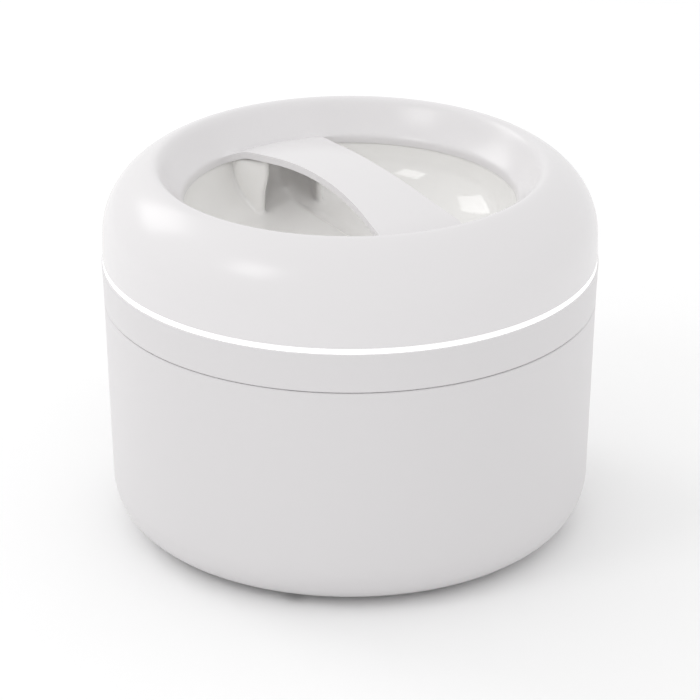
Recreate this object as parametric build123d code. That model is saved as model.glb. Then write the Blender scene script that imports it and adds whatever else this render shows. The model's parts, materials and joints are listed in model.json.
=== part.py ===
"""Ultrasonic jewellery cleaner: a round housing round a steel tank, with a basket and a lift-off lid.

The frame is +Z up with its origin on the table, under the middle of the housing. The lid's grab
bridge runs along Y. The connector panel is in the back, which faces +Y. All sizes are millimetres.
"""

import os
from math import cos, radians, sin, sqrt

from build123d import *

# Driving dimensions
BODY_R = 80.0  # outer radius at the rim
UNDERSIDE_Z = 1.5  # underside of the housing, over the table
SEAM_Z = 77.4  # top of the lower housing
RIM_Z = 90.4  # top of the collar
GLOW_HEIGHT = 1.75  # light ring between the collar and the lid
CREST_Z = 122.2  # highest point of the lid
BOWL_EDGE_Z = 111.6  # edge where the lid's funnel turns down into the hand bowl
BOWL_EDGE_R = 53.3
BRIDGE_CROWN_Z = 119.9
TANK_R = 61.0  # outer radius of the steel tank
TANK_FLOOR_Z = 39.6
FIT = 0.2  # plain gap between moulded pieces

# Wall thicknesses
HOUSING_WALL = 2.6
LID_WALL = 2.4
WELL_WALL = 2.0
STEEL = 0.8

# Lower housing
CORNER_ACROSS, CORNER_UP = 14.0, 16.0  # the rounded bottom corner is a quarter ellipse
WAIST_R = 78.0  # outer radius just above the bottom corner
SEAM_R = 79.47
SEAM_BREAK = 0.35  # chamfer on each side of the seam
SPIGOT_R = 77.6  # where the collar's spigot sits inside the lower housing
SPIGOT_DEPTH = 5.9
POST_R = 66.5  # radius on which the four closing screws stand
POST_ANGLES = (45, 135, 225, 315)
POST_JOINT_Z = 65.0  # the housing's tubes meet the collar's posts here
FOOT_PLACE_R, FOOT_R, FOOT_SINK = 50.0, 7.0, 1.0

# Connector panel, in the back wall
PANEL_Z = 34.0
PANEL_WIDE, PANEL_TALL, PANEL_THICK = 48.6, 24.6, 2.4
PANEL_SEAT_Y = 71.5
JACK_X, BUTTON_X = -11.0, 11.0
BUTTON_R = 5.8

# Driver board
BOARD_Z, BOARD_THICK = 12.0, 1.6
BOARD_X, BOARD_Y, BOARD_MIDDLE_Y = 84.0, 60.0, -6.0
BOARD_TOP = BOARD_Z + BOARD_THICK

# Lid
LID_Z = RIM_Z + GLOW_HEIGHT + FIT  # bottom of the lid's skirt
LID_R = 79.7
BULGE_Z = 99.7  # the lid's side is upright below this and a quarter ellipse above it
DOME_CENTRE_R = 52.6
DOME_UP = 24.7
CREST_START = 64.0  # degrees round the quarter ellipse where the crest roll begins
FUNNEL_START = (60.6, 120.6)
WELL_FLOOR_Z = 92.0
WELL_TOP_Z = 109.6
WELL_R = 53.6
WELL_FLOOR_R = 33.6
RIDGE_Z = 97.5
BRIDGE_HALF, BRIDGE_END_HALF = 10.5, 15.0  # half widths of the bridge at its middle and at its ends
BRIDGE_ARCH_R = 190.0
BRIDGE_THICK = 3.6
OPENING_CORNER_R = 9.0
FIN_OUT, FIN_IN = 12.0, 9.2  # outer and inner faces of the end walls, off the bridge's middle line
WINDOW_HALF_LOW, WINDOW_HALF_HIGH = 41.0, 37.0  # half length of the finger window
PLUG_R, PLUG_BOTTOM_Z = 58.0, 86.6
LINER_Z = 93.2
LID_BOSS_R, WELL_BOSS_R = 70.0, 61.2
LID_SCREW_ANGLES = (0, 60, 120, 180, 240, 300)
WELL_SCREW_ANGLES = (0, 90, 180, 270)

# Basket
BASKET_R, BASKET_FLOOR_Z, BASKET_RIM_Z = 56.0, 44.4, 66.0
BASKET_WALL = 2.0
BASKET_FLOOR_R = 50.0

UP = (Align.CENTER, Align.CENTER, Align.MIN)
MID = (Align.CENTER, Align.CENTER, Align.CENTER)


def turned(*edges):
    """A solid of revolution about Z from a closed outline of radius against height."""
    return revolve(Plane.XZ * make_face(Curve() + list(edges)), Axis.Z, 360)


def turned_points(*points):
    """A solid of revolution about Z from a closed polygon of (radius, height) points."""
    return turned(Polyline(*points, close=True))


def rod(radius, z0, z1, x=0.0, y=0.0):
    """An upright cylinder between two heights."""
    return Pos(x, y, z0) * Cylinder(radius, z1 - z0, align=UP)


def tube(outer, inner, z0, z1):
    """An upright ring between two heights."""
    return rod(outer, z0, z1) - rod(inner, z0 - 1, z1 + 1)


def slab(x0, x1, y0, y1, z0, z1):
    """A box between two corners."""
    middle = Pos((x0 + x1) / 2, (y0 + y1) / 2, (z0 + z1) / 2)
    return middle * Box(x1 - x0, y1 - y0, z1 - z0, align=MID)


def round_places(radius, angles):
    """Points on a circle about Z."""
    return [(radius * cos(radians(a)), radius * sin(radians(a))) for a in angles]


def along_y(shape_z):
    """Turns a piece drawn along +Z so that it lies along +Y."""
    return Rot(-90, 0, 0) * shape_z


def group(pieces):
    """Several separate solids in one node."""
    return Compound(children=list(pieces))


def screw(radius, head_radius, head, length, recess=0.8):
    """A pan-head screw that points up from z = 0, with its head below and a cross recess."""
    body = rod(head_radius, -head, 0) + rod(radius, 0, length)
    body = fillet(body.edges().sort_by(Axis.Z)[0], head * 0.35)
    wide = head_radius * 1.2
    cross = Box(wide, 0.7, recess, align=UP) + Box(0.7, wide, recess, align=UP)
    return body - Pos(0, 0, -head) * cross


def wire(points, radii, diameter):
    """A round insulated lead along straight runs joined by arcs."""
    path = FilletPolyline(*points, radius=radii)
    start = Plane(origin=path @ 0, z_dir=path % 0)
    return sweep(start * Circle(diameter / 2), path=path)


# ---------------------------------------------------------------- housing


def housing_outline(inset, top_z, top_r):
    """The housing's outer surface, or one that lies inside it by a wall, from the axis to the top."""
    corner_z = UNDERSIDE_Z + CORNER_UP
    start_r = WAIST_R - CORNER_ACROSS
    wall_r = WAIST_R - inset
    return [
        Line((0, UNDERSIDE_Z + inset), (start_r, UNDERSIDE_Z + inset)),
        EllipticalCenterArc((start_r, corner_z), CORNER_ACROSS - inset, CORNER_UP - inset, 270, arc_size=90),
        Line((wall_r, corner_z), (top_r, top_z)),
        Polyline((top_r, top_z), (0, top_z), (0, UNDERSIDE_Z + inset)),
    ]


def lower_housing():
    body = turned(*housing_outline(0, SEAM_Z, SEAM_R))
    body = chamfer(body.edges().filter_by(GeomType.CIRCLE).sort_by(Axis.Z)[-1], SEAM_BREAK)
    solid_body = body
    body -= turned(*housing_outline(HOUSING_WALL, SEAM_Z + 1, SEAM_R - HOUSING_WALL))
    body -= rod(SPIGOT_R, SEAM_Z - SPIGOT_DEPTH, SEAM_Z + 1)
    for x, y in round_places(POST_R, POST_ANGLES):
        body += rod(4.0, UNDERSIDE_Z + 1, POST_JOINT_Z, x, y) & solid_body
    for x, y in round_places(POST_R, POST_ANGLES):
        body -= rod(3.1, 0, POST_JOINT_Z - 3, x, y)
        body -= rod(1.7, 0, POST_JOINT_Z + 1, x, y)
    for x, y in board_screw_places():
        body += rod(3.4, UNDERSIDE_Z + 1, BOARD_Z, x, y)
        body -= rod(1.55, BOARD_Z - 6, BOARD_Z + 1, x, y)
    for x, y in round_places(FOOT_PLACE_R, POST_ANGLES):
        body -= rod(FOOT_R + 0.1, 0, UNDERSIDE_Z + FOOT_SINK, x, y)
    slot = extrude(SlotOverall(26, 3), 10)
    for row in range(-3, 4):
        body -= Pos(0, 6 * row, 0) * slot
    return panel_recess(body, solid_body)


def panel_recess(body, solid_body):
    """Thickens the back wall, sinks the connector panel into it and opens the wall behind."""
    half_x, half_z = PANEL_WIDE / 2 + FIT, PANEL_TALL / 2 + FIT
    low, high = PANEL_Z - half_z, PANEL_Z + half_z
    frame = slab(-half_x - 4, half_x + 4, PANEL_SEAT_Y - 3, BODY_R, low - 4, high + 4)
    body += frame & solid_body
    body -= slab(-half_x, half_x, PANEL_SEAT_Y, BODY_R + 1, low, high)
    body -= slab(-half_x + 5, half_x - 5, PANEL_SEAT_Y - 4, BODY_R, low + 3, high - 3)
    for x in panel_screw_places():
        body -= Pos(x, PANEL_SEAT_Y - 2.4, PANEL_Z) * along_y(rod(1.05, 0, 4))
    return body


def panel_screw_places():
    return (-PANEL_WIDE / 2 + 2.6, PANEL_WIDE / 2 - 2.6)


def board_screw_places():
    across, along = BOARD_X / 2 - 4, BOARD_Y / 2 - 4
    return [(i * across, BOARD_MIDDLE_Y + j * along) for i in (-1, 1) for j in (-1, 1)]


def collar():
    """The upper housing: rim wall, groove for the light ring, deck and seat for the tank's flange."""
    foot_z = SEAM_Z + FIT
    groove_z, deck_z = 84.4, 86.2
    body = turned_points(
        (SEAM_R - SEAM_BREAK, foot_z),
        (SEAM_R, foot_z + SEAM_BREAK),
        (BODY_R - 0.05, RIM_Z),
        (76.4, RIM_Z),
        (76.4, groove_z),
        (73.8, groove_z),
        (73.8, RIM_Z),
        (67.8, RIM_Z),
        (67.8, deck_z + 2.2),
        (TANK_R + 0.3, deck_z + 2.2),
        (TANK_R + 0.3, deck_z),
        (69.8, deck_z),
        (69.8, deck_z + 1.8),
        (71.6, deck_z + 1.8),
        (71.6, groove_z - 1.6),
        (77.4, groove_z - 1.6),
        (77.4, foot_z + 2),
        (75.7, foot_z + 2),
        (75.7, SEAM_Z - SPIGOT_DEPTH + 0.5),
        (SPIGOT_R - 0.15, SEAM_Z - SPIGOT_DEPTH + 0.5),
        (SPIGOT_R - 0.15, foot_z),
    )
    for x, y in round_places(POST_R, POST_ANGLES):
        body += rod(3.9, POST_JOINT_Z, deck_z + 0.5, x, y)
        body -= rod(1.55, POST_JOINT_Z - 1, POST_JOINT_Z + 12, x, y)
    for x, y in round_places(LED_R, LED_ANGLES):
        body -= rod(1.35, groove_z - 2, groove_z + 1, x, y)
    return body


def light_ring():
    """Clear diffuser: a leg over the lamps and a band that shows as the bright line under the lid."""
    top = RIM_Z + GLOW_HEIGHT
    return turned_points(
        (74.0, 85.0),
        (76.2, 85.0),
        (76.2, RIM_Z),
        (79.4, RIM_Z),
        (79.6, RIM_Z + 0.2),
        (79.6, top - 0.2),
        (79.4, top),
        (72.8, top),
        (72.8, RIM_Z),
        (74.0, RIM_Z),
    )


LED_R = 74.9
LED_ANGLES = tuple(11.25 + 22.5 * i for i in range(16))
LED_BOARD_Z = 81.2


def led_board():
    return tube(75.5, 72.4, LED_BOARD_Z, LED_BOARD_Z + 1.6)


def leds():
    lamp = Box(1.2, 2.0, 1.0, align=UP)
    places = zip(round_places(LED_R, LED_ANGLES), LED_ANGLES)
    return group(Pos(x, y, LED_BOARD_Z + 1.6) * Rot(0, 0, a) * lamp for (x, y), a in places)


def rubber_feet():
    foot = rod(FOOT_R, 0, UNDERSIDE_Z + FOOT_SINK)
    foot = fillet(foot.edges().sort_by(Axis.Z)[0], 0.5)
    return group(Pos(x, y, 0) * foot for x, y in round_places(FOOT_PLACE_R, POST_ANGLES))


def housing_screws():
    fixing = screw(1.5, 2.9, 2.0, 14)
    head_z = POST_JOINT_Z - 3
    return group(Pos(x, y, head_z) * fixing for x, y in round_places(POST_R, POST_ANGLES))


# ---------------------------------------------------------------- tank


def tank():
    """Drawn steel tank with a flat flange."""
    corner = 10.0
    flat_r, corner_z = TANK_R - corner, TANK_FLOOR_Z + corner
    flange_z, bend = 89.4, 1.4
    inner_r = TANK_R - STEEL
    return turned(
        Line((0, TANK_FLOOR_Z), (flat_r, TANK_FLOOR_Z)),
        CenterArc((flat_r, corner_z), corner, 270, 90),
        Line((TANK_R, corner_z), (TANK_R, flange_z)),
        Polyline((TANK_R, flange_z), (67.6, flange_z), (67.6, flange_z + STEEL)),
        Line((67.6, flange_z + STEEL), (inner_r + bend, flange_z + STEEL)),
        CenterArc((inner_r + bend, flange_z + STEEL - bend), bend, 90, 90),
        Line((inner_r, flange_z + STEEL - bend), (inner_r, corner_z)),
        CenterArc((flat_r, corner_z), corner - STEEL, 0, -90),
        Polyline((flat_r, TANK_FLOOR_Z + STEEL), (0, TANK_FLOOR_Z + STEEL), (0, TANK_FLOOR_Z)),
    )


def tank_gasket():
    return tube(67.6, TANK_R + 0.4, 88.4, 89.4)


def tank_retaining_ring():
    """Split spring ring that grips the tank under the deck."""
    ring = tube(TANK_R + 1.3, TANK_R, 84.6, 86.2)
    return ring - slab(-5, 5, -TANK_R - 3, -TANK_R + 5, 80, 90)


COUPLING_Z = TANK_FLOOR_Z - 3.0
PIEZO_Z = COUPLING_Z - 2.6


def coupling_plate():
    plate = rod(27, COUPLING_Z, TANK_FLOOR_Z)
    return chamfer(plate.edges().sort_by(Axis.Z)[0], 0.8)


def piezo_disc():
    return rod(25, PIEZO_Z, COUPLING_Z)


# ---------------------------------------------------------------- driver board


def driver_board():
    plate = Pos(0, BOARD_MIDDLE_Y, BOARD_Z) * Box(BOARD_X, BOARD_Y, BOARD_THICK, align=UP)
    plate = fillet(plate.edges().filter_by(Axis.Z), 3)
    for x, y in board_screw_places():
        plate -= rod(1.6, BOARD_Z - 1, BOARD_TOP + 1, x, y)
    return plate


def board_screws():
    fixing = Rot(180, 0, 0) * screw(1.5, 2.8, 1.8, 6)
    return group(Pos(x, y, BOARD_TOP) * fixing for x, y in board_screw_places())


TRANSFORMER_X, TRANSFORMER_Y = -17.0, -10.0


def transformer_core():
    """Two E halves as one ferrite frame with a middle leg."""
    frame = Box(26, 9, 18, align=UP)
    for side in (-1, 1):
        frame -= Pos(side * 7, 0, 3.5) * Box(6.5, 20, 11, align=UP)
    frame = fillet(frame.edges().filter_by(Axis.Y), 0.6)
    return Pos(TRANSFORMER_X, TRANSFORMER_Y, BOARD_TOP) * frame


def transformer_winding():
    """Bobbin and winding round the middle leg, standing out at the front and back."""
    block = Pos(0, 0, 3.8) * Box(18.6, 19, 10.4, align=UP)
    block = fillet(block.edges().filter_by(Axis.Z), 3)
    leg = Box(7.7, 9.2, 12, align=UP)
    keep_out = Pos(0, 0, 0) * Box(26, 9.2, 3.8, align=UP)
    cheeks = Pos(11.9, 0, 0) * Box(3.6, 9.2, 20, align=UP)
    cheeks += Pos(-11.9, 0, 0) * Box(3.6, 9.2, 20, align=UP)
    block -= Pos(0, 0, 3.5) * leg + keep_out + cheeks
    return Pos(TRANSFORMER_X, TRANSFORMER_Y, BOARD_TOP) * block


def choke():
    """Toroid wound with wire, lying flat on the board."""
    coil = Pos(-28, 10, BOARD_TOP + 3.2) * Torus(6.6, 3.4)
    return coil - rod(12, BOARD_Z, BOARD_TOP, -28, 10)


def film_capacitor():
    block = Pos(0, 4, BOARD_TOP) * Box(18, 8.5, 13, align=UP)
    return fillet(block.edges(), 0.8)


def electrolytic_capacitors():
    can = rod(6.3, BOARD_TOP, BOARD_TOP + 17)
    can = fillet(can.edges(), 0.7)
    can -= tube(7.5, 6.0, BOARD_TOP + 2.6, BOARD_TOP + 3.4)
    return group(Pos(x, 16, 0) * can for x in (-12, 4))


HEATSINK_X = 26.0
TRANSISTOR_ROWS = (-20.5, 2.5)


def heatsink():
    """Finned extrusion that stands on the board."""
    block = slab(HEATSINK_X, HEATSINK_X + 2.4, -30, 12, BOARD_TOP, BOARD_TOP + 19)
    for row in range(6):
        y = -29.5 + 8 * row
        block += slab(HEATSINK_X + 2, HEATSINK_X + 8.5, y, y + 1.2, BOARD_TOP + 2, BOARD_TOP + 19)
    return block - transistor_bores()


def transistor_bores():
    """Clearance for the screws, through the tabs and the heatsink."""
    bore = Rot(0, 90, 0) * rod(1.3, 0, 5)
    return [Pos(HEATSINK_X - 2, y, BOARD_TOP + 15.6) * bore for y in TRANSISTOR_ROWS]


def power_transistors():
    """Two tab-cased transistors flat against the heatsink."""
    pieces = []
    for y in TRANSISTOR_ROWS:
        case = slab(HEATSINK_X - 4.6, HEATSINK_X, y - 5, y + 5, BOARD_TOP + 4, BOARD_TOP + 13)
        tab = slab(HEATSINK_X - 1.4, HEATSINK_X, y - 5, y + 5, BOARD_TOP + 13, BOARD_TOP + 18)
        legs = [
            slab(HEATSINK_X - 3, HEATSINK_X - 2.4, y + s - 0.5, y + s + 0.5, BOARD_TOP, BOARD_TOP + 4)
            for s in (-2.54, 0, 2.54)
        ]
        pieces.append(case + tab + legs - transistor_bores())
    return group(pieces)


def transistor_screws():
    fixing = Rot(0, 90, 0) * screw(1.2, 2.0, 1.2, 3.4)
    bore_x = HEATSINK_X - 1.4
    return group(Pos(bore_x, y, BOARD_TOP + 15.6) * fixing for y in TRANSISTOR_ROWS)


def board_connectors():
    """Three shrouded pin headers along the back and side edges of the board."""
    shell = Box(9, 6, 7.5, align=UP) - Pos(0, 0.4, 1.2) * Box(7.6, 4.4, 7, align=UP)
    return group(Pos(x, y, BOARD_TOP) * shell for x, y in CONNECTOR_PLACES)


CONNECTOR_PLACES = ((-36, -10), (17, 19), (30, 19))


def control_chips():
    """Controller and driver packages and their small parts, in the front half of the board."""
    chip = Box(10, 6, 1.6, align=UP)
    small = Box(2.0, 1.25, 0.8, align=UP)
    pieces = [Pos(x, -28, BOARD_TOP) * chip for x in (-8, 8)]
    for row in range(3):
        pieces += [Pos(3.5 * i, -21 + 3.2 * row, BOARD_TOP) * small for i in range(5)]
    return group(pieces)


def fuse():
    """Glass fuse lying in two clips."""
    body = Cylinder(2.4, 12)
    clip = Box(4, 4.4, 2.6, align=UP)
    for side in (-1, 1):
        body += Pos(0, 0, side * 7.5) * Cylinder(2.6, 5)
    body = Pos(0, 0, 4.6) * Rot(0, 90, 0) * body
    for side in (-1, 1):
        body += Pos(side * 7.5, 0, 0) * clip
    return Pos(-24, -29.6, BOARD_TOP) * body


# ---------------------------------------------------------------- connector panel


def rear_panel():
    plate = Pos(0, PANEL_SEAT_Y + PANEL_THICK / 2, PANEL_Z) * Box(PANEL_WIDE, PANEL_THICK, PANEL_TALL)
    plate = fillet(plate.edges().filter_by(Axis.Y), 1.2)
    plate -= Pos(JACK_X, PANEL_SEAT_Y - 1, PANEL_Z) * along_y(rod(4.1, 0, 6))
    plate -= Pos(BUTTON_X, PANEL_SEAT_Y - 1, PANEL_Z) * along_y(rod(6.8, 0, 6))
    for x in panel_screw_places():
        plate -= Pos(x, PANEL_SEAT_Y - 1, PANEL_Z) * along_y(rod(1.2, 0, 6))
    return plate


def panel_screws():
    fixing = Rot(90, 0, 0) * screw(1.0, 1.9, 1.1, 4.4, 0.5)
    face_y = PANEL_SEAT_Y + PANEL_THICK
    return group(Pos(x, face_y, PANEL_Z) * fixing for x in panel_screw_places())


def jack_body():
    """Barrel socket: a block behind the panel and a bush through it."""
    back = PANEL_SEAT_Y - 12
    block = Pos(JACK_X, back, PANEL_Z) * along_y(Box(11, 11, 12, align=UP))
    bush = Pos(JACK_X, PANEL_SEAT_Y, PANEL_Z) * along_y(rod(4.0, 0, 5.2))
    socket = Pos(JACK_X, PANEL_SEAT_Y - 4.5, PANEL_Z) * along_y(rod(2.9, 0, 12))
    return block + bush - socket


def jack_pin():
    pin = Pos(JACK_X, PANEL_SEAT_Y - 4.5, PANEL_Z) * along_y(rod(1.0, 0, 8.6))
    return fillet(pin.edges().sort_by(Axis.Y)[-1], 0.5)


def jack_nut():
    nut = extrude(RegularPolygon(5.8, 6), 2.0) - rod(4.05, -1, 3)
    return Pos(JACK_X, PANEL_SEAT_Y + PANEL_THICK, PANEL_Z) * along_y(nut)


def switch_body():
    back = PANEL_SEAT_Y - 12
    block = Pos(BUTTON_X, back, PANEL_Z) * along_y(Box(13, 13, 9.6, align=UP))
    return block - Pos(BUTTON_X, back + 5, PANEL_Z) * along_y(rod(2.3, 0, 8))


def button_bezel():
    """Round guard that is pushed through the panel and lips over its face."""
    sleeve = tube(6.7, BUTTON_R + 0.3, 0, PANEL_THICK + 1)
    lip = tube(8.2, BUTTON_R + 0.3, PANEL_THICK, PANEL_THICK + 1.4)
    return Pos(BUTTON_X, PANEL_SEAT_Y, PANEL_Z) * along_y(sleeve + lip)


def power_button():
    cap = rod(BUTTON_R, 1.2, 5.4)
    cap = fillet(cap.edges().sort_by(Axis.Z)[-1], 1.0)
    cap += rod(2.0, -3.5, 1.4)
    return Pos(BUTTON_X, PANEL_SEAT_Y, PANEL_Z) * along_y(cap)


# ---------------------------------------------------------------- leads inside the housing


def piezo_leads():
    """Two leads from the disc's lower face, over the winding and down to the side connector."""
    over, x0, y0 = 30.6, -14, -17
    pieces = []
    for shift in (0, 2.4):
        x1 = -37.3 + shift
        start = (x0 + shift, y0 - shift, PIEZO_Z)
        corners = [(x0 + shift, y0 - shift, over), (x1, y0 - shift, over), (x1, -9.6, 22)]
        pieces.append(wire([start, *corners, (x1, -9.6, BOARD_TOP + 1.6)], [2.0, 4, 4], 1.4))
    return group(pieces)


def jack_leads():
    """A flat pair from the socket's back to its connector, drawn as one sleeve."""
    x, y = CONNECTOR_PLACES[1]
    start = (JACK_X, PANEL_SEAT_Y - 12, PANEL_Z)
    corners = [(JACK_X, 49, PANEL_Z), (2, 42, 29), (15, 34, 28), (x, y + 0.4, 28)]
    return wire([start, *corners, (x, y + 0.4, BOARD_TOP + 1.6)], [3.5, 5, 4, 4], 2.4)


def switch_leads():
    """A flat pair from the switch's back to its connector, drawn as one sleeve."""
    x, y = CONNECTOR_PLACES[2]
    start = (BUTTON_X, PANEL_SEAT_Y - 12, PANEL_Z)
    corners = [(BUTTON_X, 50, PANEL_Z), (x, 41, 30), (x, y + 0.4, 30)]
    return wire([start, *corners, (x, y + 0.4, BOARD_TOP + 1.6)], [4, 6, 5], 2.4)


def led_leads():
    """From the lamp board down beside the tank to the side edge of the driver board."""
    start = (73.6, 0, LED_BOARD_Z)
    corners = [(73.6, 0, 74), (66, 0, 62), (66, 0, 24), (50, 5, 18), (39.5, 9, 18)]
    return wire([start, *corners, (39.5, 9, BOARD_TOP)], [5, 10, 6, 6, 3], 2.0)


# ---------------------------------------------------------------- basket


def basket():
    """The basket's slotted wall, with two upright lifting lugs that stop short of the lid."""
    floor_top = BASKET_FLOOR_Z + BASKET_WALL
    body = turned_points(
        (BASKET_FLOOR_R, BASKET_FLOOR_Z),
        (BASKET_R - 4, BASKET_FLOOR_Z),
        (BASKET_R - 1, BASKET_FLOOR_Z + 3),
        (BASKET_R, BASKET_RIM_Z - 1.6),
        (BASKET_R + 1.8, BASKET_RIM_Z - 1.6),
        (BASKET_R + 1.8, BASKET_RIM_Z),
        (BASKET_R - BASKET_WALL, BASKET_RIM_Z),
        (BASKET_R - 3, floor_top + 2),
        (BASKET_R - 5, floor_top),
        (BASKET_FLOOR_R, floor_top),
    )
    upright = Pos(BASKET_R - 1, 0, 57) * Box(8, 2.6, 11)
    slots = [Rot(0, 0, 15 * i + 7.5) * upright for i in range(24)]
    return body + basket_lugs() - slots


def basket_lugs():
    """Two curved tabs that rise from the wall at the front and back, with a rolled lip to lift by."""
    band = tube(BASKET_R, BASKET_R - 2.4, BASKET_RIM_Z - 6, 84)
    lip = tube(BASKET_R + 0.8, BASKET_R - 4.4, 81.6, 84)
    return (band + lip) & slab(-14, 14, -60, 60, BASKET_RIM_Z - 6, 84)


def basket_floor():
    """Round plate that snaps into the wall's foot, drilled in five rings, on four feet."""
    plate = rod(BASKET_FLOOR_R, BASKET_FLOOR_Z, BASKET_FLOOR_Z + BASKET_WALL)
    for x, y in round_places(40, POST_ANGLES):
        plate += rod(3, TANK_FLOOR_Z + STEEL + FIT, BASKET_FLOOR_Z + 0.5, x, y)
    cuts = []
    for radius, count in ((9, 6), (18, 12), (27, 18), (35, 24), (44, 30)):
        step = 360 / count
        places = round_places(radius, [step * (i + 0.5) for i in range(count)])
        cuts += [rod(1.7, BASKET_FLOOR_Z - 5, BASKET_FLOOR_Z + 5, x, y) for x, y in places]
    return plate - cuts


# ---------------------------------------------------------------- lid


def dome_outline():
    """The lid's show surface from the skirt over the crest and down the funnel to the bowl's edge."""
    side = Line((LID_R + 0.05, LID_Z), (LID_R, BULGE_Z))
    across = LID_R - DOME_CENTRE_R
    dome = EllipticalCenterArc((DOME_CENTRE_R, BULGE_Z), across, DOME_UP, 0, arc_size=CREST_START)
    crest = TangentArc(dome @ 1, FUNNEL_START, tangent=dome % 1)
    funnel = TangentArc(FUNNEL_START, (BOWL_EDGE_R, BOWL_EDGE_Z), tangent=crest % 1)
    return [side, dome, crest, funnel]


def lid_blank():
    """The shell without its screw bosses: one wall thick, open in the middle."""
    under_r, under_z = LID_R - LID_WALL, BULGE_Z
    across = under_r - DOME_CENTRE_R
    inner_dome = EllipticalCenterArc((DOME_CENTRE_R, under_z), across, DOME_UP - LID_WALL, 0, arc_size=58)
    return turned(
        *dome_outline(),
        Line((BOWL_EDGE_R, BOWL_EDGE_Z), (BOWL_EDGE_R, WELL_TOP_Z)),
        Polyline((BOWL_EDGE_R, WELL_TOP_Z), (55.0, WELL_TOP_Z), (62.6, 118.7), inner_dome @ 1),
        inner_dome,
        Polyline((under_r, under_z), (under_r, LID_Z), (LID_R + 0.05, LID_Z)),
    )


def bridge_plan():
    """The bridge seen from above: the bowl's disc less two D openings with rounded corners."""
    sagitta = BRIDGE_END_HALF - BRIDGE_HALF
    half_length = sqrt(BOWL_EDGE_R**2 - BRIDGE_END_HALF**2)
    side_r = (half_length**2 + sagitta**2) / (2 * sagitta)
    openings = []
    for side in (-1, 1):
        opening = Circle(BOWL_EDGE_R) & Pos(side * (BRIDGE_HALF + side_r), 0) * Circle(side_r)
        openings.append(fillet(opening.vertices(), OPENING_CORNER_R))
    return Circle(BOWL_EDGE_R + 3.5) - openings


def arch(depth):
    """Everything under the bridge's arched show surface, less a depth: a thick revolved segment."""
    lift = BRIDGE_CROWN_Z - depth
    near, far = lift - 0.6, lift - 1.0
    top = Spline((-28, far), (-11, near), (0, lift), (11, near), (28, far))
    sides = Polyline((28, far), (28, 60), (-28, 60), (-28, far))
    face = Plane.XZ * make_face(Curve() + [top, sides])
    axis = Axis((0, 0, BRIDGE_CROWN_Z - BRIDGE_ARCH_R), (1, 0, 0))
    return revolve(face, axis, 21) + revolve(face, axis, -21)


def grab_bridge():
    """The arched strap that the hand grips, run out at both ends onto the bowl's edge."""
    prism = Pos(0, 0, 95) * extrude(bridge_plan(), 30)
    keep = rod(BOWL_EDGE_R - 0.9, 95, 125) + rod(BOWL_EDGE_R, WELL_TOP_Z, 125)
    keep += rod(BOWL_EDGE_R + 1.2, BOWL_EDGE_Z, 125)
    strap = (arch(0) & prism & keep) - arch(BRIDGE_THICK)
    return strap - lid_blank()


def lid_shell():
    body = lid_blank()
    inside = rod(LID_R - 1, LID_Z, CREST_Z) & solid_under_lid()
    for x, y in round_places(LID_BOSS_R, LID_SCREW_ANGLES):
        body += rod(3.0, LINER_Z + 2, 118, x, y) & inside
        body -= rod(1.55, LINER_Z + 1, LINER_Z + 14, x, y)
    for x, y in round_places(WELL_BOSS_R, WELL_SCREW_ANGLES):
        body += rod(2.8, WELL_TOP_Z, 121, x, y) & inside
        body -= rod(1.25, WELL_TOP_Z - 1, WELL_TOP_Z + 6, x, y)
    return body


def solid_under_lid():
    """The lid filled in from its show surface down to the skirt."""
    return turned(
        *dome_outline(),
        Polyline((BOWL_EDGE_R, BOWL_EDGE_Z), (BOWL_EDGE_R, LID_Z), (LID_R + 0.05, LID_Z)),
    )


def well_outline(wall):
    """The bowl's inner surface, or its outer one at a wall's distance, closed along the axis."""
    floor_z = WELL_FLOOR_Z - wall
    across, up = WELL_R - WELL_FLOOR_R + wall, WELL_TOP_Z - floor_z
    return [
        Line((0, floor_z), (WELL_FLOOR_R, floor_z)),
        EllipticalCenterArc((WELL_FLOOR_R, WELL_TOP_Z), across, up, 270, arc_size=90),
        Polyline((WELL_R + wall, WELL_TOP_Z), (0, WELL_TOP_Z), (0, floor_z)),
    ]


def well_ridge():
    """The low ridge that parts the two scoops, with hollow flanks."""
    foot, top_half = 16.0, 0.8
    rise = RIDGE_Z - 0.3 - WELL_FLOOR_Z
    flank_r = ((foot - top_half) ** 2 + rise**2) / (2 * rise)
    section = Rectangle(2 * foot, RIDGE_Z - WELL_FLOOR_Z + 1, align=(Align.CENTER, Align.MIN))
    for side in (-1, 1):
        section -= Pos(side * foot, flank_r + 1) * Circle(flank_r)
    section = Plane.XZ * (Pos(0, WELL_FLOOR_Z - 1) * section)
    return extrude(section, WELL_R, both=True)


def end_fins():
    """Fins under both sides of the bridge, cut away over the finger window."""
    prism = slab(-FIN_OUT, FIN_OUT, -BOWL_EDGE_R, BOWL_EDGE_R, WELL_FLOOR_Z - 1, BRIDGE_CROWN_Z)
    prism -= slab(-FIN_IN, FIN_IN, -BODY_R, BODY_R, 0, BODY_R * 2)
    window = Polyline(
        (-WINDOW_HALF_LOW, WELL_FLOOR_Z - 2),
        (-WINDOW_HALF_HIGH, BRIDGE_CROWN_Z),
        (WINDOW_HALF_HIGH, BRIDGE_CROWN_Z),
        (WINDOW_HALF_LOW, WELL_FLOOR_Z - 2),
        close=True,
    )
    cut = extrude(Plane.YZ * make_face(window), 60, both=True)
    return (prism & arch(BRIDGE_THICK)) - cut


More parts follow.
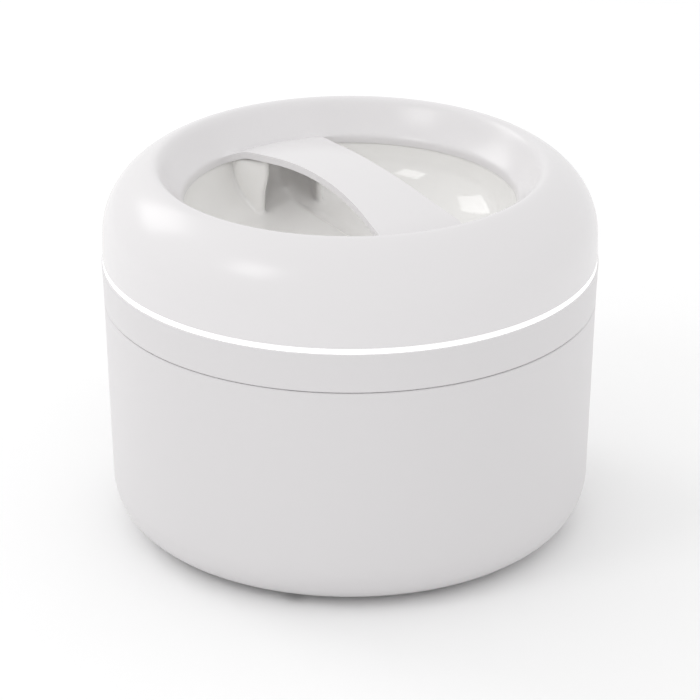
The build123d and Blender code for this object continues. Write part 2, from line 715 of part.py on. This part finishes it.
def handle_well():
    """The bowl under the bridge: two scoops with a ridge between them, and a screwed flange."""
    outer = turned(*well_outline(WELL_WALL))
    body = (outer - turned(*well_outline(0))) + (well_ridge() & outer)
    flange = tube(57.6, WELL_R, WELL_TOP_Z - 1.8, WELL_TOP_Z)
    for x, y in round_places(WELL_BOSS_R - 0.6, WELL_SCREW_ANGLES):
        flange += rod(3.8, WELL_TOP_Z - 1.8, WELL_TOP_Z, x, y) - rod(WELL_R, 90, 120)
    for x, y in round_places(WELL_BOSS_R, WELL_SCREW_ANGLES):
        flange -= rod(1.5, WELL_TOP_Z - 3, WELL_TOP_Z + 1, x, y)
    return body + flange


def bridge_posts():
    """The four end walls between the bowl and the underside of the bridge, two at each end."""
    room = turned(*well_outline(0)) + rod(BOWL_EDGE_R - 0.9, WELL_TOP_Z, BRIDGE_CROWN_Z)
    posts = (end_fins() & room) - well_ridge()
    return group(posts.solids())


def well_screws():
    fixing = screw(1.2, 2.2, 1.4, 7)
    base_z = WELL_TOP_Z - 1.8
    return group(Pos(x, y, base_z) * fixing for x, y in round_places(WELL_BOSS_R, WELL_SCREW_ANGLES))


def lid_liner():
    """The lid's underside: a flat flange inside the skirt and a plug that dips into the tank."""
    thick = 2.0
    body = turned_points(
        (0, PLUG_BOTTOM_Z),
        (PLUG_R - 1.5, PLUG_BOTTOM_Z),
        (PLUG_R, PLUG_BOTTOM_Z + 1.5),
        (PLUG_R, LINER_Z),
        (LID_R - LID_WALL - 0.3, LINER_Z),
        (LID_R - LID_WALL - 0.3, LINER_Z + thick),
        (PLUG_R - 1.8, LINER_Z + thick),
        (PLUG_R - 1.8, PLUG_BOTTOM_Z + 1.8),
        (0, PLUG_BOTTOM_Z + 1.8),
    )
    for x, y in round_places(LID_BOSS_R, LID_SCREW_ANGLES):
        body -= rod(1.7, LINER_Z - 1, LINER_Z + 3, x, y)
    return body


def lid_seal():
    """Soft ring under the liner that rests on the tank's flange."""
    low = 90.3
    return turned_points(
        (63.2, LINER_Z), (63.2, low + 0.8), (64.0, low), (65.0, low), (65.8, low + 0.8), (65.8, LINER_Z)
    )


def lid_screws():
    fixing = screw(1.5, 2.7, 1.6, 10)
    return group(Pos(x, y, LINER_Z) * fixing for x, y in round_places(LID_BOSS_R, LID_SCREW_ANGLES))


PARTS = (
    lower_housing,
    collar,
    light_ring,
    led_board,
    leds,
    rubber_feet,
    housing_screws,
    tank,
    tank_gasket,
    tank_retaining_ring,
    coupling_plate,
    piezo_disc,
    driver_board,
    board_screws,
    transformer_core,
    transformer_winding,
    choke,
    film_capacitor,
    electrolytic_capacitors,
    heatsink,
    power_transistors,
    transistor_screws,
    board_connectors,
    control_chips,
    fuse,
    rear_panel,
    panel_screws,
    jack_body,
    jack_pin,
    jack_nut,
    switch_body,
    button_bezel,
    power_button,
    piezo_leads,
    jack_leads,
    switch_leads,
    led_leads,
    basket,
    basket_floor,
    lid_shell,
    grab_bridge,
    handle_well,
    bridge_posts,
    well_screws,
    lid_liner,
    lid_seal,
    lid_screws,
)

os.makedirs("parts", exist_ok=True)
for part in PARTS:
    export_step(part(), f"parts/{part.__name__}.step")
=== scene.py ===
import json
import math

import bpy
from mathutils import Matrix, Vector


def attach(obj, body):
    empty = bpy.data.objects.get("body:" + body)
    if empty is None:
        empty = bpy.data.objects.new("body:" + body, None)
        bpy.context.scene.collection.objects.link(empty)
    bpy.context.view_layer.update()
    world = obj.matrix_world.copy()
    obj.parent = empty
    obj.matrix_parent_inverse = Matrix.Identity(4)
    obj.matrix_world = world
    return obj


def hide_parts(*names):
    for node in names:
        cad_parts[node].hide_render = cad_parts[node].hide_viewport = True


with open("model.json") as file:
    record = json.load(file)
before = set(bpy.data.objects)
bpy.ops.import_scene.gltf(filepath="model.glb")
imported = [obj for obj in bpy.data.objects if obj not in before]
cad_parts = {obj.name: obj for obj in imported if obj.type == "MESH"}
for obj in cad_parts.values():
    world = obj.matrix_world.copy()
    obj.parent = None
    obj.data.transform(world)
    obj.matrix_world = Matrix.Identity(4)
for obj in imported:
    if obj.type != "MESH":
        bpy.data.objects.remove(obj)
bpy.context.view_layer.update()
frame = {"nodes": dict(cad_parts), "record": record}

nodes = frame["nodes"]

MM = 0.001

# The lid's show surface, in millimetres of radius and height
SKIRT_Z = 92.35
LID_R = 79.7
BULGE_Z = 99.7
DOME_CENTRE_R, DOME_UP = 52.6, 24.7
CREST_START = 64
BOWL_EDGE_R, BOWL_EDGE_Z = 53.3, 111.6
LID_WALL = 2.2
LIP = 2.4  # how far the openings' edges turn down
LID_SIDES = 64
CREASE_ANGLE = 50  # edges sharper than this get a small round
EDGE_ROUND = 0.55

# The bridge across it
BRIDGE_CROWN_Z = 119.9
BRIDGE_ARCH_R = 190.0
BRIDGE_HALF = 10.5
BRIDGE_SIDE_R = 263.0
BRIDGE_END_SPOKES = 3  # spokes of the lid on each side of the middle that the bridge's end takes in
BRIDGE_CUTS = 11
# The corner of an opening and the strap's first point past it, each with its way to the round corner
CORNER_MOVES = (
    ((15.5, 51.0), (-0.7, -0.9, 0.3)),
    ((14.2, 43.6), (-1.6, 1.2, -0.8)),
)
CORNER_ROUND = 4.0

# The hand bowl under it
WELL_FLOOR_Z, WELL_TOP_Z = 92.0, 109.6
WELL_R, WELL_FLOOR_R = 53.6, 33.6
WELL_SIDES = 128
WELL_WALL = 2.0
RIDGE_RISE = 4.6
RIDGE_REACH = 17.0  # how far on each side the ridge spreads
RIDGE_HALF_LENGTH = 46.0
RIDGE_END_DRAW = 0.945  # draws the bowl's wall in behind each end of the ridge
RIDGE_END_REACH = 8.0
FIN_INNER_R = 40.0
FIN_ANGLES = (14.1, 16.8)  # degrees off the bridge's axis, one segment of the bowl
FIN_TOP_Z = 111.0
FIN_STEPS = 7
FIN_RINGS = 14  # one-millimetre rings in which the fins' tops are fitted to the bridge
FIN_CLEAR = 0.3
FIN_LEAN = 0.95  # leans each fin's inner edge towards the middle at its top
FIN_LEAN_REACH = 9.0


# ---------------------------------------------------------------- modelling


def deselect():
    """Leaves object mode with nothing selected."""
    if bpy.context.object and bpy.context.object.mode != "OBJECT":
        bpy.ops.object.mode_set(mode="OBJECT")
    bpy.ops.object.select_all(action="DESELECT")


def pick(piece, wanted, kind="VERT"):
    """Selects the vertices, edges or faces of a piece in edit mode whose place passes a test."""
    bpy.ops.mesh.select_mode(type=kind)
    bpy.ops.mesh.select_all(action="DESELECT")
    bpy.ops.object.mode_set(mode="OBJECT")
    mesh = piece.data
    if kind == "VERT":
        for vertex in mesh.vertices:
            vertex.select = wanted(vertex.co / MM)
    elif kind == "EDGE":
        for edge in mesh.edges:
            ends = [mesh.vertices[i].co / MM for i in edge.vertices]
            edge.select = all(wanted(end) for end in ends)
    else:
        for face in mesh.polygons:
            face.select = wanted(face.center / MM)
    bpy.ops.object.mode_set(mode="EDIT")


def angle_off_y(p):
    """Degrees between a point and the nearer end of the bridge's axis."""
    return math.degrees(math.atan2(abs(p.x), abs(p.y)))


def turned(name, outline, sides):
    """Draws a ring of edges out and in along an outline of (radius, height) points."""
    deselect()
    radius, height = outline[0]
    bpy.ops.mesh.primitive_circle_add(vertices=sides, radius=radius * MM, location=(0, 0, height * MM))
    piece = bpy.context.object
    piece.name = name
    piece.data.name = name
    bpy.ops.object.transform_apply(location=True, rotation=True, scale=True)
    bpy.ops.object.mode_set(mode="EDIT")
    bpy.ops.mesh.select_mode(type="EDGE")
    bpy.ops.mesh.select_all(action="SELECT")
    for (r0, z0), (r1, z1) in zip(outline, outline[1:]):
        bpy.ops.mesh.extrude_region_move(TRANSFORM_OT_translate={"value": (0, 0, (z1 - z0) * MM)})
        bpy.ops.transform.resize(value=(r1 / r0, r1 / r0, 1), center_override=(0, 0, z1 * MM))
    return piece


def arc(centre, across, up, start, end, steps):
    """Points on an ellipse between two angles."""
    points = []
    for i in range(steps + 1):
        a = math.radians(start + (end - start) * i / steps)
        points.append((centre[0] + across * math.cos(a), centre[1] + up * math.sin(a)))
    return points


def finish_piece(piece, *modifiers):
    """Recalculates the normals, applies the modifiers in turn and shades the piece smooth."""
    bpy.ops.object.mode_set(mode="EDIT")
    bpy.ops.mesh.select_all(action="SELECT")
    bpy.ops.mesh.remove_doubles(threshold=0.01 * MM)
    bpy.ops.mesh.normals_make_consistent(inside=False)
    bpy.ops.object.mode_set(mode="OBJECT")
    for kind, settings in modifiers:
        modifier = piece.modifiers.new(kind.lower(), kind)
        for key, value in settings.items():
            setattr(modifier, key, value)
        bpy.ops.object.modifier_apply(modifier=modifier.name)
    bpy.ops.object.shade_smooth()
    return piece


# ---------------------------------------------------------------- lid shell


def lid_outline():
    """From the bottom of the skirt over the crest and down the funnel to the bowl's edge."""
    across = LID_R - DOME_CENTRE_R
    side = [(LID_R, SKIRT_Z), (LID_R + 0.03, SKIRT_Z + 2.4), (LID_R + 0.03, SKIRT_Z + 4.8)]
    dome = arc((DOME_CENTRE_R, BULGE_Z), across, DOME_UP, 2, CREST_START, 12)
    crest = [(62.9, 122.25), (61.4, 121.6)]
    funnel = [(59.9, 119.5), (58.3, 117.1), (56.6, 114.9), (54.9, 113.0), (BOWL_EDGE_R, BOWL_EDGE_Z)]
    return side + dome + crest + funnel


def bridge_half_width(y):
    return BRIDGE_HALF + BRIDGE_SIDE_R - math.sqrt(BRIDGE_SIDE_R**2 - y**2)


def bridge_top(y):
    return BRIDGE_CROWN_Z - BRIDGE_ARCH_R + math.sqrt(BRIDGE_ARCH_R**2 - y**2)


def add_bridge(piece):
    """Bridges the bowl's edge from end to end, then waists, arches and crowns the strap."""
    end_angle = math.radians(360 / LID_SIDES * (BRIDGE_END_SPOKES + 0.3))
    end_half = BOWL_EDGE_R * math.sin(end_angle)

    def at_ends(p):
        on_edge = abs(p.z - BOWL_EDGE_Z) < 0.05 and abs(math.hypot(p.x, p.y) - BOWL_EDGE_R) < 0.1
        return on_edge and abs(p.x) < end_half

    pick(piece, at_ends, "EDGE")
    bpy.ops.mesh.bridge_edge_loops(type="SINGLE", number_cuts=BRIDGE_CUTS, interpolation="LINEAR")
    full_half = BOWL_EDGE_R * math.sin(math.radians(360 / LID_SIDES * BRIDGE_END_SPOKES))
    rows = BRIDGE_CUTS + 1
    for row in range(1, rows):
        share = 1 - 2 * row / rows
        y = share * (BOWL_EDGE_R - 1.0)
        gap = BOWL_EDGE_R / rows

        def in_row(p):
            inside = abs(p.x) < end_half and abs(p.y - y) < gap * 0.8
            return inside and math.hypot(p.x, p.y) < BOWL_EDGE_R - 1.5 and abs(p.z - BOWL_EDGE_Z) < 0.05

        pick(piece, in_row)
        narrower = bridge_half_width(y) / full_half
        bpy.ops.transform.resize(value=(narrower, 1, 1), center_override=(0, 0, 0))
        bpy.ops.transform.translate(value=(0, 0, (bridge_top(y) - BOWL_EDGE_Z) * MM))
    for column, drop in ((2 / 3, 0.25), (1.0, 0.4)):

        def in_column(p):
            place = abs(p.x) / bridge_half_width(p.y)
            return abs(p.y) < 42 and place < 1.1 and place > column - 0.15

        pick(piece, in_column)
        bpy.ops.transform.translate(value=(0, 0, -drop * MM))
    round_corners(piece)


def round_corners(piece):
    """Draws each corner of the openings in, and the strap beside it, so that the corner rounds off."""
    for (x, y), (out, along, up) in CORNER_MOVES:
        for side_x in (-1, 1):
            for side_y in (-1, 1):
                place = Vector((x * side_x, y * side_y))
                pick(piece, lambda p: (p.xy - place).length < 0.9 and p.z < 118)
                bpy.ops.transform.translate(value=(out * side_x * MM, along * side_y * MM, up * MM))


def add_lips(piece):
    """Turns the edges of both openings straight down, round the bowl and along the bridge."""
    bpy.ops.mesh.select_all(action="DESELECT")
    bpy.ops.mesh.select_mode(type="EDGE")
    bpy.ops.mesh.select_non_manifold(
        extend=False, use_wire=False, use_multi_face=False, use_non_contiguous=False
    )
    bpy.ops.object.mode_set(mode="OBJECT")
    for edge in piece.data.edges:
        edge.select = edge.select and piece.data.vertices[edge.vertices[0]].co.z > (BOWL_EDGE_Z - 6) * MM
    bpy.ops.object.mode_set(mode="EDIT")
    bpy.ops.mesh.extrude_region_move(TRANSFORM_OT_translate={"value": (0, 0, -LIP * MM)})
    (x, y), (out, along, up) = CORNER_MOVES[0]
    pick(piece, lambda p: math.hypot(abs(p.x) - x - out, abs(p.y) - y - along) < 0.6, "EDGE")
    bpy.ops.mesh.bevel(offset=CORNER_ROUND * MM, segments=3, affect="EDGES")


def lid_shell():
    """The lid's top in one moulding with its bridge, hollow underneath."""
    soft_edges = {
        "width": EDGE_ROUND * MM,
        "segments": 2,
        "limit_method": "ANGLE",
        "angle_limit": math.radians(CREASE_ANGLE),
    }
    piece = turned("lid_shell_gloss", lid_outline(), LID_SIDES)
    add_bridge(piece)
    add_lips(piece)
    return finish_piece(
        piece,
        ("SOLIDIFY", {"thickness": LID_WALL * MM, "offset": -1.0, "use_even_offset": True}),
        ("BEVEL", soft_edges),
        ("SUBSURF", {"levels": 2, "render_levels": 2}),
    )


# ---------------------------------------------------------------- hand bowl


def hand_bowl():
    """The bowl, with a ridge pulled up along its middle that runs out up the wall at both ends."""
    floor = [(r, WELL_FLOOR_Z) for r in (*range(1, 33, 2), WELL_FLOOR_R)]
    wall = arc((WELL_FLOOR_R, WELL_TOP_Z), WELL_R - WELL_FLOOR_R, WELL_TOP_Z - WELL_FLOOR_Z, 276, 360, 15)
    piece = turned("hand_bowl_gloss", floor + wall, WELL_SIDES)
    pick(piece, lambda p: math.hypot(p.x, p.y) < 1.5)
    bpy.ops.mesh.edge_face_add()
    pick(piece, lambda p: abs(p.x) < 0.01 and math.hypot(p.x, p.y) < RIDGE_HALF_LENGTH)
    bpy.ops.transform.translate(
        value=(0, 0, RIDGE_RISE * MM),
        use_proportional_edit=True,
        proportional_edit_falloff="SHARP",
        proportional_size=RIDGE_REACH * MM,
    )

    def behind_ridge(p):
        return abs(p.x) < 0.01 and RIDGE_HALF_LENGTH - 1 < math.hypot(p.x, p.y) and p.z < WELL_TOP_Z - 1

    pick(piece, behind_ridge)
    bpy.ops.transform.resize(
        value=(1, RIDGE_END_DRAW, 1),
        center_override=(0, 0, 0),
        use_proportional_edit=True,
        proportional_edit_falloff="SHARP",
        proportional_size=RIDGE_END_REACH * MM,
    )
    return piece


def bowl_fins(piece):
    """Draws the four fins up in steps until they meet the underside of the bridge."""

    def on_fin(p):
        in_segment = FIN_ANGLES[0] < angle_off_y(p) < FIN_ANGLES[1]
        return in_segment and FIN_INNER_R < math.hypot(p.x, p.y) and p.z < WELL_TOP_Z

    pick(piece, on_fin, "FACE")
    for steps_left in range(FIN_STEPS, 0, -1):
        bpy.ops.mesh.extrude_region_move()
        shrink = (steps_left - 1) / steps_left
        bpy.ops.transform.resize(value=(1, 1, shrink), center_override=(0, 0, FIN_TOP_Z * MM))
    for ring in range(FIN_RINGS):
        inner = FIN_INNER_R + ring

        def in_ring(p):
            return p.z > FIN_TOP_Z - 0.05 and inner - 0.5 <= math.hypot(p.x, p.y) < inner + 0.5

        pick(piece, in_ring)
        bpy.ops.transform.translate(value=(0, 0, (bridge_top(inner) - LIP - FIN_CLEAR - FIN_TOP_Z) * MM))
    pick(piece, lambda p: p.z > 107 and math.hypot(p.x, p.y) < FIN_INNER_R + 1.5)
    bpy.ops.transform.resize(
        value=(FIN_LEAN, FIN_LEAN, 1),
        center_override=(0, 0, 0),
        use_proportional_edit=True,
        proportional_edit_falloff="SMOOTH",
        proportional_size=FIN_LEAN_REACH * MM,
        use_proportional_connected=True,
    )
    return piece


shell = lid_shell()
bowl = bowl_fins(hand_bowl())
finish_piece(
    bowl,
    ("SOLIDIFY", {"thickness": WELL_WALL * MM, "offset": -1.0}),
    ("SUBSURF", {"levels": 1, "render_levels": 1}),
)

# ---------------------------------------------------------------- materials


def linear(hex_colour):
    """An sRGB hex colour as linear red, green, blue and alpha."""
    channels = [int(hex_colour[i : i + 2], 16) / 255 for i in (1, 3, 5)]
    return [c / 12.92 if c <= 0.04045 else ((c + 0.055) / 1.055) ** 2.4 for c in channels] + [1.0]


def add_node(tree, kind, sockets=None, **settings):
    """Adds a node with its settings, and gives each named socket a value or a link."""
    made = tree.nodes.new(kind)
    for key, value in settings.items():
        setattr(made, key, value)
    for key, value in (sockets or {}).items():
        if isinstance(value, bpy.types.NodeSocket):
            tree.links.new(value, made.inputs[key])
        else:
            made.inputs[key].default_value = value
    return made


def moulded_plastic(name, hex_colour, roughness, grain_mm=1.4, grain_height_mm=0.004):
    """Injection-moulded plastic: an even body colour, a faint orange peel and slow changes in polish."""
    material = bpy.data.materials.new(name)
    material.use_nodes = True
    tree = material.node_tree
    shader = tree.nodes["Principled BSDF"]
    place = add_node(tree, "ShaderNodeTexCoord").outputs["Object"]
    peel = add_node(tree, "ShaderNodeTexNoise", {"Vector": place, "Scale": 1000 / grain_mm, "Detail": 2.0})
    bump = add_node(tree, "ShaderNodeBump", {"Height": peel.outputs["Fac"], "Distance": grain_height_mm * MM})
    polish = add_node(tree, "ShaderNodeTexNoise", {"Vector": place, "Scale": 1000 / 45, "Detail": 3.0})
    spread = add_node(
        tree,
        "ShaderNodeMapRange",
        {"Value": polish.outputs["Fac"], "To Min": roughness * 0.88, "To Max": roughness * 1.14},
    )
    shader.inputs["Base Color"].default_value = linear(hex_colour)
    shader.inputs["IOR"].default_value = 1.53
    tree.links.new(spread.outputs["Result"], shader.inputs["Roughness"])
    tree.links.new(bump.outputs["Normal"], shader.inputs["Normal"])
    return material


def drawn_metal(name, hex_colour, roughness, line_mm=0.5, line_height_mm=0.002, stretch=(1, 1, 0.03)):
    """Bare metal: fine lines left along one direction by drawing, rolling or brushing."""
    material = bpy.data.materials.new(name)
    material.use_nodes = True
    tree = material.node_tree
    shader = tree.nodes["Principled BSDF"]
    place = add_node(tree, "ShaderNodeTexCoord").outputs["Object"]
    along = add_node(tree, "ShaderNodeMapping", {"Vector": place, "Scale": stretch})
    noise = {"Vector": along.outputs["Vector"], "Scale": 1000 / line_mm, "Detail": 2.0}
    lines = add_node(tree, "ShaderNodeTexNoise", noise)
    bump = add_node(tree, "ShaderNodeBump", {"Height": lines.outputs["Fac"], "Distance": line_height_mm * MM})
    spread = add_node(
        tree,
        "ShaderNodeMapRange",
        {"Value": lines.outputs["Fac"], "To Min": roughness * 0.7, "To Max": roughness * 1.3},
    )
    shader.inputs["Base Color"].default_value = linear(hex_colour)
    shader.inputs["Metallic"].default_value = 1.0
    tree.links.new(spread.outputs["Result"], shader.inputs["Roughness"])
    tree.links.new(bump.outputs["Normal"], shader.inputs["Normal"])
    return material


def two_tone(material, low_hex, high_hex, pattern_mm, contrast=(0.45, 0.55)):
    """Breaks a material's colour into two tones by a noise of a real size."""
    tree = material.node_tree
    place = add_node(tree, "ShaderNodeTexCoord").outputs["Object"]
    noise = add_node(tree, "ShaderNodeTexNoise", {"Vector": place, "Scale": 1000 / pattern_mm, "Detail": 4.0})
    ramp = add_node(tree, "ShaderNodeValToRGB", {"Fac": noise.outputs["Fac"]})
    for stop, place_at, hex_colour in zip(ramp.color_ramp.elements, contrast, (low_hex, high_hex)):
        stop.position = place_at
        stop.color = linear(hex_colour)
    tree.links.new(ramp.outputs["Color"], tree.nodes["Principled BSDF"].inputs["Base Color"])
    return material


def wound(material, turn_mm, height_mm):
    """Ridges of wire laid side by side across the piece."""
    tree = material.node_tree
    place = add_node(tree, "ShaderNodeTexCoord").outputs["Object"]
    turns = add_node(
        tree,
        "ShaderNodeTexWave",
        {"Vector": place, "Scale": 1000 / turn_mm / 20},
        wave_type="BANDS",
        bands_direction="X",
    )
    bump = add_node(tree, "ShaderNodeBump", {"Height": turns.outputs["Fac"], "Distance": height_mm * MM})
    tree.links.new(bump.outputs["Normal"], tree.nodes["Principled BSDF"].inputs["Normal"])
    return material


def lit(material, strength):
    """Makes the material glow in plain white."""
    shader = material.node_tree.nodes["Principled BSDF"]
    shader.inputs["Emission Color"].default_value = linear("#FFFFFF")
    shader.inputs["Emission Strength"].default_value = strength
    return material


# Glossy white ABS from a polished mould, with the faint orange peel that every moulding keeps.
# The lid's mould is polished more than the housing's, so its highlights are tighter
abs_body = moulded_plastic("abs_moulded_white", "#D7D5D6", 0.36)
abs_lid = moulded_plastic("abs_gloss_lid_white", "#E0DEDF", 0.24)
# The hand bowl's cavity is polished further, so it mirrors the lamps crisply. Its white is painted lighter
# than the lid's, a painted lift against the shade that falls in the bowl under the strap
abs_bowl = moulded_plastic("abs_polished_bowl_white_painted_lighter", "#F0EFED", 0.06, 6.0, 0.003)

finishes = {
    "white_shell": abs_body,
    "white_lid": abs_lid,
    # Opal polycarbonate lit from behind: even, with no hot spots
    "diffuser": lit(moulded_plastic("polycarbonate_opal_lit", "#FFFFFF", 0.3), 0.3),
    # Deep-drawn 304 steel: bright, with upright draw lines on the wall
    "stainless": drawn_metal("stainless_304_deep_drawn", "#C9C6C1", 0.2, 0.6, 0.003),
    # Oiled spring steel: darker and duller than the tank
    "spring_steel": drawn_metal("spring_steel_oiled", "#8E8B86", 0.35, 0.8),
    # Zinc plating: pale, finely crystalline, the same in every direction
    "screw_steel": drawn_metal("steel_zinc_plated", "#B9BBBE", 0.3, 0.3, 0.001, (1, 1, 1)),
    # Rolled sheet: soft sheen with lines along the rolling direction
    "aluminium": drawn_metal("aluminium_rolled", "#C6C7C9", 0.32, 0.5, 0.002, (1, 0.03, 1)),
    # Anodised extrusion: near black with a satin tooth
    "aluminium_black": moulded_plastic("aluminium_black_anodised", "#1B1B1D", 0.42, 0.5, 0.003),
    # Nickel plate over brass: warm and bright
    "nickel": drawn_metal("brass_nickel_plated", "#C7C1B4", 0.2, 0.3, 0.001, (1, 1, 1)),
    # The fuse shows as its bright end caps
    "fuse_glass": drawn_metal("fuse_caps_nickel", "#BDB9AF", 0.28, 0.3, 0.001, (1, 1, 1)),
    # Silicone: soft, slightly dusty, no gloss
    "silicone_grey": moulded_plastic("silicone_grey_matt", "#6B6D6F", 0.62, 0.8, 0.01),
    # Foot rubber: matt and grainy, no highlight
    "rubber_dark": moulded_plastic("rubber_epdm_dark", "#2A2A2B", 0.78, 0.6, 0.02),
    # Fired silver on the piezo disc: pale, chalky sheen
    "ceramic": moulded_plastic("pzt_ceramic_silvered", "#B7B0A4", 0.45, 0.5, 0.004),
    # Solder mask over copper and bare laminate: two greens in patches
    "board_green": two_tone(
        moulded_plastic("fr4_green_mask", "#1F5A36", 0.35, 0.6, 0.004), "#174A2B", "#2A6B42", 2.5
    ),
    # White solder mask, as lamp boards have
    "board_white": moulded_plastic("fr4_white_mask", "#DCDBD6", 0.4, 0.6, 0.004),
    # Sintered ferrite: charcoal and slightly rough
    "ferrite": moulded_plastic("ferrite_sintered", "#2C2C2E", 0.6, 0.4, 0.015),
    # Yellow polyester tape, smooth and shiny
    "winding_tape": moulded_plastic("polyester_tape_yellow", "#C99A2B", 0.3, 1.2, 0.01),
    # Enamelled wire: amber-brown gloss over ridges of single turns
    "copper_wire": wound(moulded_plastic("copper_enamelled", "#A4562A", 0.25), 0.9, 0.25),
    # Dipped epoxy: uneven wet gloss
    "film_blue": moulded_plastic("film_capacitor_blue_dip", "#2A4F9A", 0.28, 2.0, 0.02),
    # Shrunk sleeve over the can: black and shiny
    "can_black": moulded_plastic("pvc_sleeve_black", "#1A1B1E", 0.3, 1.5, 0.006),
    # Moulded packages: dull, finely pitted black
    "epoxy_black": moulded_plastic("epoxy_moulded_black", "#1C1C1D", 0.55, 0.3, 0.01),
    # Unpigmented nylon: creamy and waxy
    "connector_white": moulded_plastic("nylon_natural", "#D9D5C8", 0.45, 0.8, 0.006),
    # Spark-eroded texture: an even fine grain that kills the shine
    "panel_grey": moulded_plastic("abs_spark_grained_grey", "#55575A", 0.55, 0.35, 0.02),
    # Glass-filled PBT: satin black
    "black_plastic": moulded_plastic("pbt_black", "#1D1D1F", 0.45, 0.5, 0.008),
    # The button: a shade darker than the lid
    "button_white": moulded_plastic("abs_button_white", "#DCDBDD", 0.3),
    # Wire sheaths: plain PVC, soft gloss
    "lead_red": moulded_plastic("pvc_wire_red", "#8E1F1A", 0.4, 0.8, 0.006),
    "lead_black": moulded_plastic("pvc_wire_black", "#1C1C1C", 0.4, 0.8, 0.006),
    "lead_white": moulded_plastic("pvc_wire_white", "#D4D3D0", 0.4, 0.8, 0.006),
    # Unpainted polypropylene: cooler white, waxy
    "basket_white": moulded_plastic("polypropylene_natural_white", "#DADCDD", 0.38, 1.0, 0.006),
    # Phosphor over the lamps: pale yellow and glowing
    "lamp": lit(moulded_plastic("led_phosphor", "#F2E6B0", 0.4), 0.6),
}

for part in frame["record"]["subparts"]:
    node = nodes[part["node"]]
    node.data.materials.clear()
    node.data.materials.append(finishes[part["material_slot"]])

for piece, material, replaced in (
    (shell, abs_lid, ("lid_shell", "grab_bridge")),
    (bowl, abs_bowl, ("handle_well", "bridge_posts")),
):
    piece.data.materials.append(material)
    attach(piece, "lid")
    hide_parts(*replaced)

# ---------------------------------------------------------------- studio


def area_light(name, place, aim, size, watts):
    """A square soft box aimed at a point."""
    deselect()
    bpy.ops.object.light_add(type="AREA", location=place)
    lamp = bpy.context.object
    lamp.name = name
    lamp.data.size = size
    lamp.data.energy = watts
    lamp.rotation_euler = (Vector(aim) - Vector(place)).to_track_quat("-Z", "Y").to_euler()
    return lamp


SURROUND_STRENGTH = 0.97
FLOOR_SIZE = 8  # metres
VIEW_AZIMUTH, VIEW_ELEVATION, VIEW_DISTANCE = -30, 23.83, 1.12
VIEW_TARGET = (0, 0, 0.0569)
LENS, SENSOR = 176.5, 36


def studio():
    """A pale floor, a white surround and two soft boxes."""
    deselect()
    bpy.ops.mesh.primitive_plane_add(size=FLOOR_SIZE, location=(0, 0, 0))
    floor = bpy.context.object
    floor.name = "floor"
    paper = bpy.data.materials.new("matt_white_paper")
    paper.use_nodes = True
    shader = paper.node_tree.nodes["Principled BSDF"]
    shader.inputs["Base Color"].default_value = linear("#FAFAFA")
    shader.inputs["Roughness"].default_value = 0.9
    floor.data.materials.append(paper)
    world = bpy.data.worlds.new("white_surround")
    world.use_nodes = True
    world.node_tree.nodes["Background"].inputs["Color"].default_value = (1, 1, 1, 1)
    world.node_tree.nodes["Background"].inputs["Strength"].default_value = SURROUND_STRENGTH
    bpy.context.scene.world = world
    area_light("soft_box_left", (-0.91, -0.1, 0.95), (0, 0, 0.09), 0.34, 1.25)
    area_light("soft_box_back", (-0.45, 1.0, 0.8), (0, 0, 0.09), 0.5, 1.8)
    bpy.context.scene.view_settings.view_transform = "Standard"


def camera(azimuth, elevation, distance, target):
    """A long lens, level, aimed at a point on the axis."""
    a, e = math.radians(azimuth), math.radians(elevation)
    direction = Vector((math.sin(a) * math.cos(e), -math.cos(a) * math.cos(e), math.sin(e)))
    deselect()
    bpy.ops.object.camera_add(location=Vector(target) + direction * distance)
    view = bpy.context.object
    view.name = "camera"
    view.rotation_euler = direction.to_track_quat("Z", "Y").to_euler()
    view.data.lens = LENS
    view.data.sensor_width = SENSOR
    bpy.context.scene.camera = view


studio()
camera(VIEW_AZIMUTH, VIEW_ELEVATION, VIEW_DISTANCE, VIEW_TARGET)

deselect()
